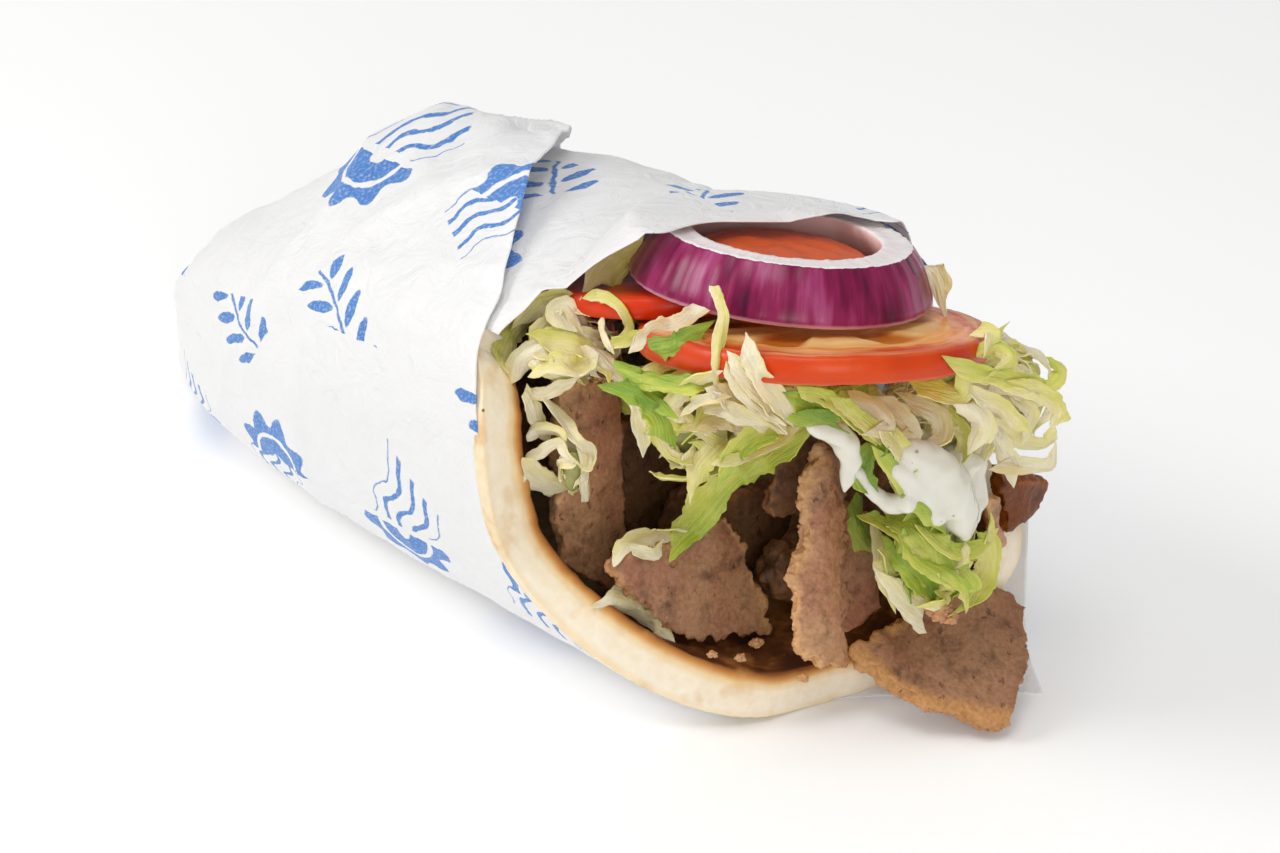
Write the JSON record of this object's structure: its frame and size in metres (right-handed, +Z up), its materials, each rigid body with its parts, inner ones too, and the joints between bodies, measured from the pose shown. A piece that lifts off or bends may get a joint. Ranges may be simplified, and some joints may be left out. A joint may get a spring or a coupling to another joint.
{
  "type": "gyro wrap",
  "caption": "Rolled flatbread wrap in printed paper, open at one end over sliced meat, shredded lettuce, sauce, tomato slices and an onion ring.",
  "frame": {"origin": "on the floor under the middle of the wrap's length, where its underside rests flat", "axes": "+X from the closed tail to the open mouth, +Y to the wrap's far side, +Z up from the floor it lies on"},
  "size_m": [0.2407, 0.1064, 0.1066],
  "materials": {
    "paper": "printed greaseproof paper",
    "pita": "soft baked flatbread",
    "meat": "roasted sliced meat",
    "tomato": "moist tomato",
    "onion": "moist red onion",
    "lettuce": "crisp shredded lettuce",
    "sauce": "creamy yogurt sauce"
  },
  "bodies": {
    "root": {"lettuce_bed": "lettuce", "lettuce_front": "lettuce", "lettuce_left": "lettuce", "lettuce_left_low": "lettuce", "lettuce_middle": "lettuce", "lettuce_right": "lettuce", "lettuce_under": "lettuce", "meat_chip_far": "meat", "meat_filling": "meat", "meat_heap_far": "meat", "meat_heap_inner": "meat", "meat_heap_low": "meat", "meat_slice_back": "meat", "meat_slice_far": "meat", "meat_slice_flat": "meat", "meat_slice_front": "meat", "meat_slice_inner": "meat", "meat_slice_near": "meat", "meat_slice_shadow": "meat", "meat_slice_side": "meat", "meat_slice_tall": "meat", "onion_ring": "onion", "paper_wrap": "paper", "pita": "pita", "sauce_dollop": "sauce", "sauce_drip": "sauce", "tomato_back": "tomato", "tomato_front": "tomato"}
  },
  "joints": []
}
